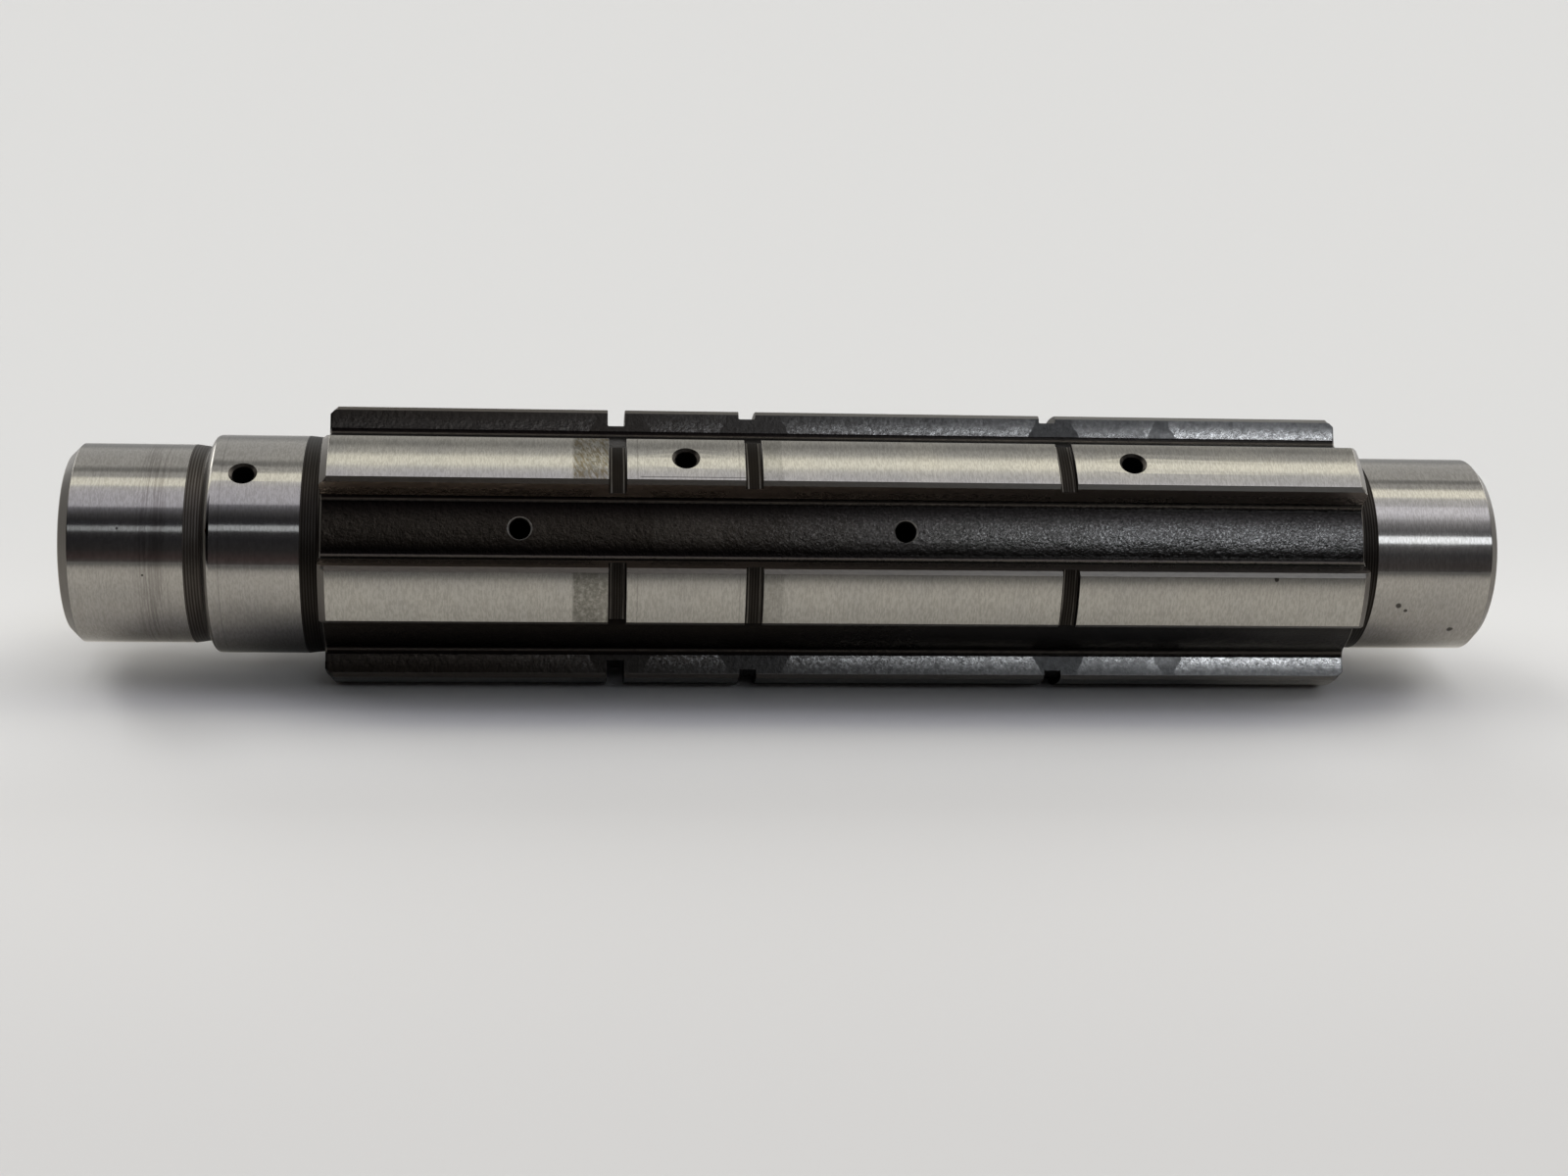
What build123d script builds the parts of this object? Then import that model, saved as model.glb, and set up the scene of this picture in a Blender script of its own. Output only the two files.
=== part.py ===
from build123d import *
import os
from math import cos, radians, sin, sqrt, tan

# Drive shaft turned and milled from one steel bar. From left to right it has a bearing journal,
# a larger journal with the oil inlet, six straight-sided splines with three ring grooves and oil
# holes, and a second bearing journal. It lies along X with the middle of its length at the origin,
# and one tooth points straight to the front, which is -Y. Sizes are in millimetres.

# Left bearing journal
left_journal_d = 40.0
left_journal_length = 24.1
left_chamfer = 2.2

# Larger journal, with the conical shoulder that leads up to it
large_journal_d = 44.0
large_journal_length = 18.05
shoulder_length = 1.15
shoulder_corner_radius = 1.2

# Right bearing journal
right_journal_d = 40.0
right_journal_length = 25.6
right_chamfer = 1.8

# Turned reliefs, which let the grinding wheel run out beside each ground seat. Each one tapers down
# from the seat to its depth at the wall behind it, and its corner there is rounded
left_relief_length = 3.3
left_relief_depth = 0.45
middle_relief_length = 3.9
middle_relief_depth = 0.4
right_relief_length = 3.8
right_relief_depth = 0.1
relief_corner_radius = 0.6
corner_share_of_wall = 0.9

# Splines. Their valley floors clear the larger journal, so that the hubs slide on over it
tooth_count = 6
valley_clearance = 0.5
tooth_height = 5.5
tooth_width = 11.9
spline_length = 208.1
tooth_end_chamfer = 1.5
tooth_edge_chamfer = 0.6
root_fillet = 1.7
root_end_break = 0.3

# Ring grooves, each placed by the distance from the splines' left face to its left wall
deep_groove_depth = 3.25
deep_groove_width = 3.5
deep_groove_place = 55.9
snap_groove_depth = 1.5
snap_groove_width = 3.4
first_snap_groove_place = 82.7
second_snap_groove_place = 145.3
groove_corner_break = 0.3

# Oil holes. The inlet is placed from the shoulder, the others from the splines' left face
oil_hole_d = 4.3
countersink_d = 5.6
valley_break_d = 5.0
inlet_place = 6.65
land_hole_places = (71.0, 160.5)
valley_hole_places = (38.6, 114.7)
land_angle = 60.0
valley_angle = 30.0

# Oil gallery along the axis, open at the left end, and the centre hole in the right end
gallery_d = 9.0
gallery_overrun = 4.0
gallery_mouth_d = 15.0
centre_pilot_d = 6.3
centre_mouth_d = 13.2
centre_pilot_depth = 16.0
centre_cone_angle = 60.0
drill_tip_angle = 118.0
countersink_angle = 90.0

# Edges that lie nearer to a computed place than this are taken to be on it
same_place = 0.001

# Radii and places along the shaft that follow from the sizes above
left_r = left_journal_d / 2
large_r = large_journal_d / 2
right_r = right_journal_d / 2
root_r = large_r + valley_clearance
outer_r = root_r + tooth_height

overall_length = (
    left_journal_length + left_relief_length + shoulder_length + large_journal_length
    + middle_relief_length + spline_length + right_relief_length + right_journal_length
)
left_end = -overall_length / 2
left_journal_end = left_end + left_journal_length
shoulder_foot = left_journal_end + left_relief_length
large_journal_start = shoulder_foot + shoulder_length
large_journal_end = large_journal_start + large_journal_length
spline_start = large_journal_end + middle_relief_length
spline_end = spline_start + spline_length
right_journal_start = spline_end + right_relief_length
right_end = overall_length / 2


def relief_corner(wall_height):
    """Rounding in the corner of a relief, which a low wall limits."""
    return min(relief_corner_radius, corner_share_of_wall * wall_height)


def blank_outline():
    """Half outline of the turned blank, as (place along X, radius, rounding of that corner)."""
    left_floor = left_r - left_relief_depth
    middle_floor = large_r - middle_relief_depth
    right_floor = right_r - right_relief_depth
    face_edge = outer_r - tooth_end_chamfer
    return [
        (left_end, 0, 0),
        (left_end, left_r - left_chamfer, 0),
        (left_end + left_chamfer, left_r, 0),
        (left_journal_end, left_r, 0),
        (shoulder_foot, left_floor, relief_corner_radius),
        (large_journal_start, large_r, shoulder_corner_radius),
        (large_journal_end, large_r, 0),
        (spline_start, middle_floor, relief_corner(face_edge - middle_floor)),
        (spline_start, face_edge, 0),
        (spline_start + tooth_end_chamfer, outer_r, 0),
        (spline_end - tooth_end_chamfer, outer_r, 0),
        (spline_end, face_edge, 0),
        (spline_end, right_floor, relief_corner(face_edge - right_floor)),
        (right_journal_start, right_r, 0),
        (right_end - right_chamfer, right_r, 0),
        (right_end, right_r - right_chamfer, 0),
        (right_end, 0, 0),
    ]


def gap_side(side):
    """One side of the gap between two teeth, from the root up past the tip, gap centred on +Y."""
    half_pitch = radians(180 / tooth_count)
    half_width = tooth_width / 2

    def beside_tooth(along, across):
        """Point at a distance along the tooth's centre line and across it, towards the gap."""
        x = along * sin(half_pitch) - across * cos(half_pitch)
        y = along * cos(half_pitch) + across * sin(half_pitch)
        return (side * x, y)

    root = sqrt(root_r**2 - half_width**2)
    tip = sqrt(outer_r**2 - half_width**2)
    past_tip = beside_tooth(tip + tooth_edge_chamfer, half_width - 2 * tooth_edge_chamfer)
    return [
        beside_tooth(root, half_width),
        beside_tooth(tip - tooth_edge_chamfer, half_width),
        past_tip,
        (past_tip[0], outer_r + tooth_edge_chamfer),
    ]


def gap_profile():
    """Cross-section that is milled out between two teeth: round root, flanks and tip chamfers."""
    with BuildSketch() as gap:
        with BuildLine():
            left = Polyline(*gap_side(-1))
            right = Polyline(*gap_side(1))
            ThreePointArc(left @ 0, (0, root_r), right @ 0)
            Line(left @ 1, right @ 1)
        make_face()
        fillet(gap.vertices().group_by(Axis.Y)[0], root_fillet)
    return gap.sketch


def ring_groove_profile(place, width, depth):
    """Section of one ring groove, open beyond the tooth tips, with slightly broken floor corners."""
    left_wall = spline_start + place
    right_wall = left_wall + width
    floor = outer_r - depth
    above = outer_r + tooth_edge_chamfer
    with BuildSketch(Plane.XZ) as groove:
        with BuildLine():
            Polyline(
                (left_wall, above),
                (left_wall, floor + groove_corner_break),
                (left_wall + groove_corner_break, floor),
                (right_wall - groove_corner_break, floor),
                (right_wall, floor + groove_corner_break),
                (right_wall, above),
                close=True,
            )
        make_face()
    return groove.sketch


def axial_drilling_profile(mouth, inward, mouth_r, bore_r, depth):
    """Half section of a drilling on the axis: 60 degree mouth, bore and drill point."""
    mouth_depth = (mouth_r - bore_r) / tan(radians(centre_cone_angle / 2))
    tip_depth = bore_r / tan(radians(drill_tip_angle / 2))
    with BuildSketch(Plane.XZ) as drilling:
        with BuildLine():
            Polyline(
                (mouth, 0),
                (mouth, mouth_r),
                (mouth + inward * mouth_depth, bore_r),
                (mouth + inward * depth, bore_r),
                (mouth + inward * (depth + tip_depth), 0),
                close=True,
            )
        make_face()
    return drilling.sketch


def hole_mouth(place, radius, angle):
    """Plane that touches the shaft at a place and an angle up from the front, facing outward."""
    outward = Vector(0, -cos(radians(angle)), sin(radians(angle)))
    return Plane(origin=Vector(place, 0, 0) + outward * radius, z_dir=outward)


def root_end_edges(part):
    """Arcs where the valley floors end, at the splines' faces or just inside their corner roundings."""
    arcs = part.edges().filter_by(GeomType.CIRCLE)
    on_root = arcs.filter_by(lambda arc: abs(arc.radius - root_r) < same_place)
    return on_root.filter_by(
        lambda arc: min(abs(arc.center().X - face) for face in (spline_start, spline_end))
        < relief_corner_radius
    )


ring_grooves = [
    (deep_groove_place, deep_groove_width, deep_groove_depth),
    (first_snap_groove_place, snap_groove_width, snap_groove_depth),
    (second_snap_groove_place, snap_groove_width, snap_groove_depth),
]
oil_holes = [
    (large_journal_start + inlet_place, large_r, land_angle, countersink_d),
    *[(spline_start + place, outer_r, land_angle, countersink_d) for place in land_hole_places],
    *[(spline_start + place, root_r, valley_angle, valley_break_d) for place in valley_hole_places],
]
gallery_depth = spline_start + max(land_hole_places) + gallery_overrun - left_end

with BuildPart() as shaft:
    # Turned blank
    outline = blank_outline()
    with BuildSketch(Plane.XZ):
        with BuildLine():
            FilletPolyline(
                *[(place, radius) for place, radius, rounding in outline],
                close=True,
                radius=[rounding for place, radius, rounding in outline],
            )
        make_face()
    revolve(axis=Axis.X)

    # Gaps between the teeth, run out over the reliefs at both ends
    runout = min(middle_relief_length, right_relief_length) / 2
    with BuildSketch(Plane.YZ.offset(spline_start - runout)):
        with PolarLocations(0, tooth_count):
            add(gap_profile())
    extrude(amount=spline_length + 2 * runout, mode=Mode.SUBTRACT)
    chamfer(root_end_edges(shaft), root_end_break)

    # Ring grooves across the teeth
    for place, width, depth in ring_grooves:
        revolve(ring_groove_profile(place, width, depth), axis=Axis.X, mode=Mode.SUBTRACT)

    # Oil gallery from the left end and centre hole in the right end
    gallery = axial_drilling_profile(left_end, 1, gallery_mouth_d / 2, gallery_d / 2, gallery_depth)
    centre = axial_drilling_profile(
        right_end, -1, centre_mouth_d / 2, centre_pilot_d / 2, centre_pilot_depth
    )
    revolve(gallery, axis=Axis.X, mode=Mode.SUBTRACT)
    revolve(centre, axis=Axis.X, mode=Mode.SUBTRACT)

    # Oil holes from the surface down to the gallery
    for place, radius, angle, mouth_d in oil_holes:
        with Locations(hole_mouth(place, radius, angle)):
            CounterSinkHole(oil_hole_d / 2, mouth_d / 2, radius, countersink_angle)

shaft.part.label = "shaft"
os.makedirs("parts", exist_ok=True)
export_step(shaft.part, "parts/shaft.step")
print("overall length", round(overall_length, 3), "volume", round(shaft.part.volume, 1))
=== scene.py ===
# %% [markdown]
# # A splined drive shaft
#
# The part is one steel bar, turned, milled and ground: two bearing journals, a larger journal with
# an oil inlet, six straight-sided splines, three ring grooves and five drilled oil holes.
# The imported CAD model gives the frame and the size. This scene builds the same shaft once more as a
# finer mesh, with broken edges and its real finishes, some with painted light and shade in their
# colours, and lights it in a plain studio.

import math

import bpy
from mathutils import Matrix, Vector


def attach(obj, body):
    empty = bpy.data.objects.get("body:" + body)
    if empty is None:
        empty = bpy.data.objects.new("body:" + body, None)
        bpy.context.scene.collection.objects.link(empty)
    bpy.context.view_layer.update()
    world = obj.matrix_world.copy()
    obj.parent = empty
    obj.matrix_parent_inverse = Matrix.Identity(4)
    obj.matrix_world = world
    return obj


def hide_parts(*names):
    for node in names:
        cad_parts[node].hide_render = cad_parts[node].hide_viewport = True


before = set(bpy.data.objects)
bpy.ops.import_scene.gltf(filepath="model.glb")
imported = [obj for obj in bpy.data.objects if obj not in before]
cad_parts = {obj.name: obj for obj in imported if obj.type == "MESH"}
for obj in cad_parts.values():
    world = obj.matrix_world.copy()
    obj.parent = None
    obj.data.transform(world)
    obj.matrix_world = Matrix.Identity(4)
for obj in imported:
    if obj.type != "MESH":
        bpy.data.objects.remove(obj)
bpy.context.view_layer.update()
MM = 0.001

# %% [markdown]
# ## Writing node trees as Python
#
# Both the shape and the finishes are node trees. Wired by hand they are long to read, so two small
# classes help: operators on a socket add Math nodes, and one method adds any other node.

# %% A socket that can be calculated with


class Wire:
    """A node's output socket. Operators on it add Math nodes to its tree."""

    def __init__(self, tree, socket):
        self.tree = tree
        self.socket = socket

    def math(self, operation, *others):
        return self.tree.node("ShaderNodeMath", [self, *others], operation=operation)

    def __add__(self, other):
        return self.math("ADD", other)

    def __sub__(self, other):
        return self.math("SUBTRACT", other)

    def __rsub__(self, other):
        return self.tree.node("ShaderNodeMath", [other, self], operation="SUBTRACT")

    def __mul__(self, other):
        return self.math("MULTIPLY", other)

    def __truediv__(self, other):
        return self.math("DIVIDE", other)

    def __abs__(self):
        return self.math("ABSOLUTE")

    __radd__ = __add__
    __rmul__ = __mul__

    def above(self, limit):
        return self.math("GREATER_THAN", limit)

    def below(self, limit):
        return self.math("LESS_THAN", limit)

    def least(self, other):
        return self.math("MINIMUM", other)

    def most(self, other):
        return self.math("MAXIMUM", other)

    def hypot(self, other):
        """The length of two components together."""
        return (self * self + other * other).math("SQRT")

    def parts(self):
        """The three components of a vector."""
        split = self.tree.node("ShaderNodeSeparateXYZ", [self]).socket.node
        return [Wire(self.tree, output) for output in split.outputs]


print("a Wire calculates")

# %% A tree to put nodes in


def empty_tree(owner):
    """The node tree of a material or a world, with nothing in it yet."""
    owner.use_nodes = True
    owner.node_tree.nodes.clear()
    return owner.node_tree


class Tree:
    """A node tree that is written in Python."""

    def __init__(self, tree):
        self.tree = tree

    def node(self, kind, values=(), output=0, **settings):
        """Adds a node: its settings first, then the values or wires of its sockets."""
        made = self.tree.nodes.new(kind)
        for name, value in settings.items():
            setattr(made, name, value)
        named = values.items() if isinstance(values, dict) else enumerate(values)
        for key, value in named:
            for one in value if isinstance(value, list) else [value]:
                self.connect(self.input(made, key), one)
        outputs = [socket for socket in made.outputs if socket.enabled]
        if not outputs:
            return made
        return Wire(self, made.outputs[output] if isinstance(output, str) else outputs[output])

    @staticmethod
    def input(node, key):
        """An input socket by its place or name. Of several with one name, the enabled one counts."""
        if isinstance(key, int):
            return node.inputs[key]
        return next(socket for socket in node.inputs if socket.name == key and socket.enabled)

    def connect(self, socket, value):
        if isinstance(value, Wire):
            self.tree.links.new(value.socket, socket)
        else:
            socket.default_value = value

    def ramp(self, value, low, high, to_low=0.0, to_high=1.0):
        """Smooth change from one value to another between two limits."""
        return self.node("ShaderNodeMapRange", {
            "Value": value, "From Min": low, "From Max": high, "To Min": to_low, "To Max": to_high,
        }, interpolation_type="SMOOTHSTEP")

    def span(self, value, start, full, fading, end):
        """One where a value lies between full and fading, with soft edges outside them."""
        return self.ramp(value, start, full) * self.ramp(value, fading, end, 1, 0)

    def colour(self, share, first, second):
        """A mix of two colours, each of them a wire or three numbers."""
        first, second = [one if isinstance(one, Wire) else (*one, 1) for one in (first, second)]
        return self.node(
            "ShaderNodeMix", {"Factor": share, "A": first, "B": second}, data_type="RGBA",
        )

    def coats(self, colour, *layers):
        """A colour under coats, each of them a share and a colour."""
        for share, coat in layers:
            colour = self.colour(share, colour, coat)
        return colour

    def tell(self, what):
        print(what + ":", len(self.tree.nodes), "nodes by now")


print("a Tree adds nodes")

# %% [markdown]
# ## The camera
#
# The photograph was taken from in front, a little to the left of the middle and 22 degrees above
# the shaft. Its lens and place were found by fitting the outlines of the journals, teeth and holes,
# so here they are only written down.

# %% Place the camera
camera_place = Vector((-44.68, -443.92, 171.02)) * MM
camera_yaw = math.radians(5.662)
camera_pitch = math.radians(21.960)
camera_roll = math.radians(2.515)
camera_lens = 53.01
sensor_width = 36.0

ahead = Vector((
    math.sin(camera_yaw) * math.cos(camera_pitch),
    math.cos(camera_yaw) * math.cos(camera_pitch),
    -math.sin(camera_pitch),
))
level = Vector((math.cos(camera_yaw), -math.sin(camera_yaw), 0))
upright = level.cross(ahead)
to_right = level * math.cos(camera_roll) + upright * math.sin(camera_roll)
to_top = upright * math.cos(camera_roll) - level * math.sin(camera_roll)



def add_object(name, data):
    """A new object in the scene."""
    made = bpy.data.objects.new(name, data)
    bpy.context.scene.collection.objects.link(made)
    return made


camera_data = bpy.data.cameras.new("camera")
camera_data.lens = camera_lens
camera_data.sensor_width = sensor_width
camera = add_object("camera", camera_data)
turn = Matrix((to_right, to_top, -ahead)).transposed().to_4x4()
camera.matrix_world = Matrix.Translation(camera_place) @ turn
bpy.context.scene.camera = camera
print("camera", tuple(round(v, 4) for v in camera.location))

# %% [markdown]
# ## The turned outline
#
# On the lathe the shaft is one outline turned round its axis: from the drill point of the oil
# gallery out to the left face, over the journals, reliefs and ring grooves, and back in at the centre
# hole. A lofted or revolved curve would do, but the splines have to be cut into it later, so the
# outline is kept as a chain of points that the Geometry Nodes tree below turns and cuts.
# Each corner has a small rounding, as every edge of a real part is broken a little. A support point
# beside each rounding keeps its shading from running out over the flat next to it.

# %% Driving lengths and radii, in millimetres
left_journal_length = 24.1
left_relief_length = 3.3
shoulder_length = 1.15
large_journal_length = 18.05
middle_relief_length = 3.9
spline_length = 208.1
right_relief_length = 3.8
right_journal_length = 25.6

left_r = 20.0
large_r = 22.0
right_r = 20.0
valley_clearance = 0.5
tooth_height = 5.5
root_r = large_r + valley_clearance
outer_r = root_r + tooth_height
print("root radius", root_r, "outer radius", outer_r)

# %% Places along the shaft, from the middle of its length
overall_length = (
    left_journal_length + left_relief_length + shoulder_length + large_journal_length
    + middle_relief_length + spline_length + right_relief_length + right_journal_length
)
left_end = -overall_length / 2
left_journal_end = left_end + left_journal_length
shoulder_foot = left_journal_end + left_relief_length
large_journal_start = shoulder_foot + shoulder_length
large_journal_end = large_journal_start + large_journal_length
spline_start = large_journal_end + middle_relief_length
spline_end = spline_start + spline_length
right_journal_start = spline_end + right_relief_length
right_end = overall_length / 2
print("overall length", round(overall_length, 3))

# %% Chamfers, reliefs, grooves and drillings
left_chamfer = 2.2
right_chamfer = 1.8
tooth_end_chamfer = 1.5
valley_end_break = 0.3
left_relief_depth = 0.45
middle_relief_depth = 0.4
right_relief_depth = 0.1
relief_corner = 0.6
shoulder_corner = 1.2
edge_break = 0.12
groove_corner = 0.3

# Each groove: distance from the splines' left face, width, radius of its floor
deep_groove_depth = 3.25
snap_groove_depth = 1.5
ring_grooves = [
    (55.9, 3.5, outer_r - deep_groove_depth),
    (82.7, 3.4, outer_r - snap_groove_depth),
    (145.3, 3.4, outer_r - snap_groove_depth),
]

land_hole_places = (71.0, 160.5)
gallery_r = 4.5
gallery_mouth_r = 7.5
gallery_overrun = 4.0
gallery_depth = spline_start + max(land_hole_places) + gallery_overrun - left_end
centre_r = 3.15
centre_mouth_r = 6.6
centre_depth = 16.0
cone_angle = math.radians(60)
drill_tip_angle = math.radians(118)
mouth_slope = 1 / math.tan(cone_angle / 2)
drill_slope = 1 / math.tan(drill_tip_angle / 2)
print("gallery depth", round(gallery_depth, 3))

# %% The outline's corners: place along the shaft, radius, rounding


def groove_corners(start, width, floor_r):
    """The four corners of one ring groove, with slightly rounded floor corners."""
    left = spline_start + start
    right = left + width
    return [
        (left, outer_r, edge_break),
        (left, floor_r, groove_corner),
        (right, floor_r, groove_corner),
        (right, outer_r, edge_break),
    ]


left_floor = left_r - left_relief_depth
middle_floor = large_r - middle_relief_depth
right_floor = right_r - right_relief_depth
tooth_face_r = outer_r - tooth_end_chamfer
mouth_inner = left_end + (gallery_mouth_r - gallery_r) * mouth_slope
centre_inner = right_end - (centre_mouth_r - centre_r) * mouth_slope
gallery_end = left_end + gallery_depth
centre_end = right_end - centre_depth

# Depths behind the teeth's faces at which their chamfers get a ring of points
chamfer_rings = (valley_end_break, 0.4, 0.8)

corners = [
    (gallery_end + gallery_r * drill_slope, 0, 0),
    (gallery_end, gallery_r, 0),
    (mouth_inner, gallery_r, 0),
    (left_end, gallery_mouth_r, edge_break),
    (left_end, left_r - left_chamfer, edge_break),
    (left_end + left_chamfer, left_r, edge_break),
    (left_journal_end, left_r, edge_break),
    (shoulder_foot, left_floor, relief_corner),
    (large_journal_start, large_r, shoulder_corner),
    (large_journal_end, large_r, edge_break),
    (spline_start, middle_floor, relief_corner),
    (spline_start, tooth_face_r, edge_break),
    *[(spline_start + depth, tooth_face_r + depth, 0) for depth in chamfer_rings],
    (spline_start + tooth_end_chamfer, outer_r, edge_break),
    *[corner for groove in ring_grooves for corner in groove_corners(*groove)],
    (spline_end - tooth_end_chamfer, outer_r, edge_break),
    *[(spline_end - depth, tooth_face_r + depth, 0) for depth in reversed(chamfer_rings)],
    (spline_end, tooth_face_r, edge_break),
    (spline_end, right_floor, relief_corner),
    (right_journal_start, right_r, edge_break),
    (right_end - right_chamfer, right_r, edge_break),
    (right_end, right_r - right_chamfer, edge_break),
    (right_end, centre_mouth_r, edge_break),
    (centre_inner, centre_r, 0),
    (centre_end, centre_r, 0),
    (centre_end - centre_r * drill_slope, 0, 0),
]
print("outline corners", len(corners))

# %% Round the corners
rounding_step = math.radians(23)
fewest_steps = 2
support_gap = 0.08


def arc(centre, start, end, steps):
    """Points on the shorter arc from start to end."""
    from_centre, to_centre = start - centre, end - centre
    radius = from_centre.length
    return [centre + from_centre.slerp(to_centre, step / steps) * radius for step in range(steps + 1)]


def rounded(chain):
    """The chain of corners with an arc at each rounding and a support point on either side of it."""
    points = []
    for i, (place, radius, rounding) in enumerate(chain):
        corner = Vector((place, radius))
        if rounding == 0 or i in (0, len(chain) - 1):
            points.append(corner)
            continue
        back = Vector(chain[i - 1][:2]) - corner
        on = Vector(chain[i + 1][:2]) - corner
        bend = math.pi - back.angle(on)
        reach = rounding * math.tan(bend / 2)
        start = corner + back.normalized() * reach
        end = corner + on.normalized() * reach
        inward = (back.normalized() + on.normalized()).normalized()
        middle = corner + inward * rounding / math.cos(bend / 2)
        if reach + support_gap < back.length / 2:
            points.append(start + back.normalized() * support_gap)
        points += arc(middle, start, end, max(fewest_steps, math.ceil(bend / rounding_step)))
        if reach + support_gap < on.length / 2:
            points.append(end + on.normalized() * support_gap)
    return points


outline_points = rounded(corners)
print("outline points", len(outline_points))

# %% Make the outline an object


def chain_object(name, points):
    """A chain of points joined by edges, as an object that a tree can read."""
    mesh = bpy.data.meshes.new(name)
    mesh.from_pydata(points, [(i, i + 1) for i in range(len(points) - 1)], [])
    return add_object(name, mesh)


shaft = chain_object("drive_shaft", [(point.x * MM, 0, point.y * MM) for point in outline_points])
print("outline object", shaft.name, "with", len(shaft.data.edges), "edges")

# %% [markdown]
# ## The section between two gaps
#
# A milling cutter leaves the same section all along the splines: a round land, two small tip
# chamfers, two straight flanks, and a root fillet that leads into the round valley floor. Only one
# pitch is written, as points beside the tooth's centre line, and the tree repeats it. The flanks get a
# point at each groove floor, so that a groove's edge runs straight across them.

# %% Sizes of a tooth, as places along its centre line and across it
tooth_count = 6
tooth_width = 11.9
half_width = tooth_width / 2
tip_chamfer = 0.6
root_fillet = 1.7
pitch = 2 * math.pi / tooth_count

tip_along = math.sqrt(outer_r**2 - half_width**2)
chamfer_foot = Vector((tip_along - tip_chamfer, half_width))
fillet_centre = Vector((
    math.sqrt((root_r + root_fillet) ** 2 - (half_width + root_fillet) ** 2),
    half_width + root_fillet,
))
flank_end = Vector((fillet_centre.x, half_width))
fillet_foot = fillet_centre.normalized() * root_r

chamfer_sum = chamfer_foot.x + chamfer_foot.y
land_edge_across = (chamfer_sum - math.sqrt(2 * outer_r**2 - chamfer_sum**2)) / 2
land_edge = Vector((chamfer_sum - land_edge_across, land_edge_across))
print("land", round(2 * land_edge_across, 3), "mm wide, flank from", round(flank_end.x, 3))

# %% One pitch of the section
above_land = outer_r + 1
land_shares = (0, 0.25, 0.5, 0.75, 0.95)
chamfer_shares = (0, 0.2, 0.8, 1)
valley_shares = (0.05, 0.25, 0.5, 0.75, 1)
flank_radii = (24.3, 25.7, 27.2)
fillet_steps = 6


def at_angle(radius, angle):
    return Vector((radius * math.cos(angle), radius * math.sin(angle)))


def between(start, end, shares):
    return [start.lerp(end, share) for share in shares]


def half_section():
    """Points from the middle of the land to the middle of the valley, on one side of the tooth."""
    edge_angle = math.atan2(land_edge.y, land_edge.x)
    land = [at_angle(above_land, edge_angle * share) for share in land_shares]
    chamfer = between(land_edge, chamfer_foot, chamfer_shares)
    floors = {floor + lift for _, _, floor in ring_grooves for lift in (0, groove_corner)}
    flank = [
        Vector((math.sqrt(radius**2 - half_width**2), half_width))
        for radius in sorted([*floors, *flank_radii], reverse=True)
    ]
    fillet = arc(fillet_centre, flank_end, fillet_foot, fillet_steps)
    foot_angle = math.atan2(fillet_foot.y, fillet_foot.x)
    valley = [
        at_angle(root_r, foot_angle + (pitch / 2 - foot_angle) * share) for share in valley_shares
    ]
    return land + chamfer + flank + fillet + valley


def mirrored_point(point):
    """The same point on the far side of the valley's middle line."""
    return Vector((
        math.cos(pitch) * point.x + math.sin(pitch) * point.y,
        math.sin(pitch) * point.x - math.cos(pitch) * point.y,
    ))


half = half_section()
one_pitch = half + [mirrored_point(point) for point in half[-2:0:-1]]
section = chain_object("tooth_section", [(0, p.y * MM, p.x * MM) for p in one_pitch])
print("points in one pitch", len(one_pitch))

# %% [markdown]
# ## Turning and cutting in Geometry Nodes
#
# The shaft follows a rule: at every place along it and at every angle round it, its surface is at
# the smaller of two radii, the one that the lathe left and the one that the spline cutter left.
# The tree lays out a grid, gives each row a point of the outline and each column an angle of the
# section, and takes the smaller radius. Doubles are then merged.

# %% Oil holes: a point on the surface for each, and how deep its countersink goes
oil_hole_r = 2.15
land_sink = 0.65
valley_sink = 0.35
land_angle = 60.0
valley_angle = 30.0
inlet_place = 6.65
valley_hole_places = (38.6, 114.7)
holes = [
    (large_journal_start + inlet_place, land_angle, large_r, land_sink),
    *[(spline_start + place, land_angle, outer_r, land_sink) for place in land_hole_places],
    *[(spline_start + place, valley_angle, root_r, valley_sink) for place in valley_hole_places],
]


def on_surface(place, angle, radius):
    """A point at a place along the shaft, an angle up from its front, and a radius."""
    up = math.radians(angle)
    return (place * MM, -radius * math.cos(up) * MM, radius * math.sin(up) * MM)


hole_points = chain_object("oil_hole_points", [on_surface(*hole[:3]) for hole in holes])
sink_depths = hole_points.data.attributes.new("sink", "FLOAT", "POINT")
sink_depths.data.foreach_set("value", [hole[3] * MM for hole in holes])
print("oil holes", len(holes))

# %% Finishes are made now and filled in further down
finish_names = [
    "ground_steel", "turned_steel", "hardened_skin", "tooth_flank", "valley_floor",
    "drilled_steel", "countersunk_steel",
]
finishes = {name: bpy.data.materials.new(name) for name in finish_names}
print("finishes", len(finishes))

# %% The tree's inputs
inputs = {
    "Section": ("NodeSocketObject", section),
    "Oil holes": ("NodeSocketObject", hole_points),
    "Teeth": ("NodeSocketInt", tooth_count),
    "Valley end break": ("NodeSocketFloat", valley_end_break * MM),
    "Hole radius": ("NodeSocketFloat", oil_hole_r * MM),
}
group = bpy.data.node_groups.new("turn_and_cut", "GeometryNodeTree")
group.interface.new_socket("Geometry", in_out="INPUT", socket_type="NodeSocketGeometry")
for name, (kind, _) in inputs.items():
    group.interface.new_socket(name, in_out="INPUT", socket_type=kind)
group.interface.new_socket("Geometry", in_out="OUTPUT", socket_type="NodeSocketGeometry")

shape = Tree(group)
entry = group.nodes.new("NodeGroupInput")
given = {socket.name: Wire(shape, socket) for socket in entry.outputs if socket.name}
print("inputs", list(given))

# %% A grid: a row for each point of the outline, a column for each point of the section


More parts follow.
